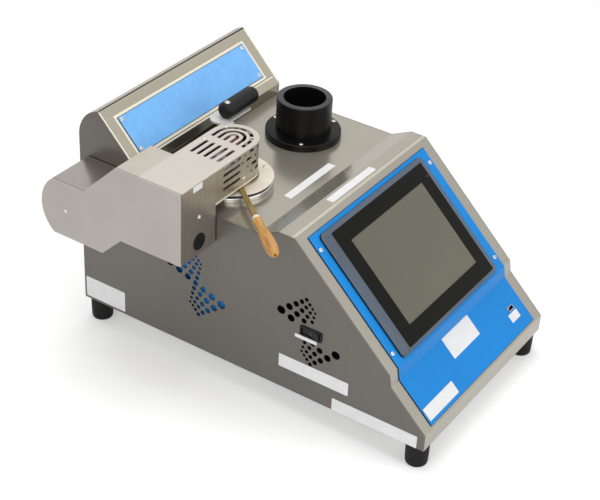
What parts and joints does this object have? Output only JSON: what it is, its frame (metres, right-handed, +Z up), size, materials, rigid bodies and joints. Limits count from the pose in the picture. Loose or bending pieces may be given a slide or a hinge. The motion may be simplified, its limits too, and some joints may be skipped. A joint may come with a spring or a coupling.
{
  "type": "flash point tester",
  "caption": "Bench flash point tester: sloping touch panel, heated cup bath, swinging test head with grip, spare-cup stand and a raised rear tower.",
  "frame": {"origin": "centre of the bounding box on the bench, under the feet", "axes": "+Z up, -Y towards the user at the control panel, +X to the user's right"},
  "size_m": [0.382, 0.5329, 0.3276],
  "materials": {
    "body_enamel": "satin",
    "side_enamel": "satin",
    "head_enamel": "satin",
    "panel_blue": "satin",
    "tower_blue": "satin",
    "bezel_grey": "matt",
    "display_black": "gloss",
    "screen_grey": "gloss",
    "case_black": "matt",
    "rubber_black": "matt",
    "screw_steel": "satin",
    "collar_chrome": "polished",
    "plate_cream": "satin",
    "block_aluminium": "satin",
    "insulation": "matt",
    "cup_brass": "satin",
    "handle_wood": "varnished",
    "stand_black": "anodised, satin",
    "bracket_aluminium": "satin",
    "frame_steel": "satin",
    "baffle_blue": "satin",
    "board_green": "matt",
    "lamp_white": "gloss"
  },
  "bodies": {
    "cabinet": {"air_baffle": "baffle_blue", "base_tray": "side_enamel", "bath_block": "block_aluminium", "bath_collar": "collar_chrome", "bath_gasket": "rubber_black", "bath_insulation": "insulation", "bath_plate": "plate_cream", "controller_board": "board_green", "cup_handle_bar": "cup_brass", "cup_stand": "stand_black", "deck_screws": "screw_steel", "display_bezel": "bezel_grey", "display_case": "case_black", "display_glass": "display_black", "display_screen": "screen_grey", "fan_frame": "case_black", "fan_guard": "frame_steel", "foot_front_left": "rubber_black", "foot_front_right": "rubber_black", "foot_rear_left": "rubber_black", "foot_rear_right": "rubber_black", "front_panel": "panel_blue", "handle_ferrule": "cup_brass", "left_side_panel": "side_enamel", "panel_screws": "screw_steel", "pivot_backing": "frame_steel", "pivot_retainer": "frame_steel", "pivot_shaft": "frame_steel", "power_inlet": "case_black", "power_supply": "case_black", "rear_panel": "side_enamel", "right_side_panel": "side_enamel", "switch_frame": "case_black", "test_cup": "cup_brass", "top_cover": "body_enamel", "tower_cover": "body_enamel", "tower_panel": "tower_blue", "usb_socket": "frame_steel", "wooden_handle": "handle_wood"},
    "head": {"head_cover": "head_enamel", "head_frame": "frame_steel", "head_side_plate": "head_enamel", "nose_cover": "head_enamel", "nose_wall": "head_enamel", "nose_screws": "screw_steel", "head_plug": "case_black", "head_lamp": "lamp_white", "pivot_screw": "screw_steel", "pivot_bush": "cup_brass", "handle_bracket": "bracket_aluminium", "head_grip": "case_black", "grip_screw": "screw_steel", "test_lid": "cup_brass", "temperature_probe": "frame_steel", "shutter_bridge": "frame_steel", "shutter_motor": "frame_steel"},
    "shutter_disc": {"shutter": "frame_steel"},
    "igniter_rod": {"igniter": "frame_steel"},
    "rocker": {"switch_rocker": "case_black"},
    "rotor": {"fan_rotor": "case_black"}
  },
  "joints": [
    {"name": "head_swing", "type": "hinge", "parent": "cabinet", "child": "head", "pos_m": [-0.1205, 0.22575, 0.21925], "axis": [-1, 0, 0], "range_deg": [0, 80]},
    {"name": "shutter_turn", "type": "hinge", "parent": "head", "child": "shutter_disc", "pos_m": [-0.041, 0.07925, 0.2666], "axis": [0, 0, 1], "range_deg": [0, 40]},
    {"name": "igniter_dip", "type": "slide", "parent": "head", "child": "igniter_rod", "axis": [0, 0, -1], "range_m": [0, 0.0125]},
    {"name": "power_rocker", "type": "hinge", "parent": "cabinet", "child": "rocker", "pos_m": [-0.1158, -0.09845, 0.134], "axis": [0, 0, 1], "range_deg": [0, 14]},
    {"name": "fan_spin", "type": "hinge", "parent": "cabinet", "child": "rotor", "pos_m": [-0.034, 0.26125, 0.16], "axis": [0, 1, 0], "continuous": true}
  ],
  "couplings": [
    {"joint": "shutter_turn", "follows": "igniter_dip", "rad_per_m": 55.85}
  ]
}
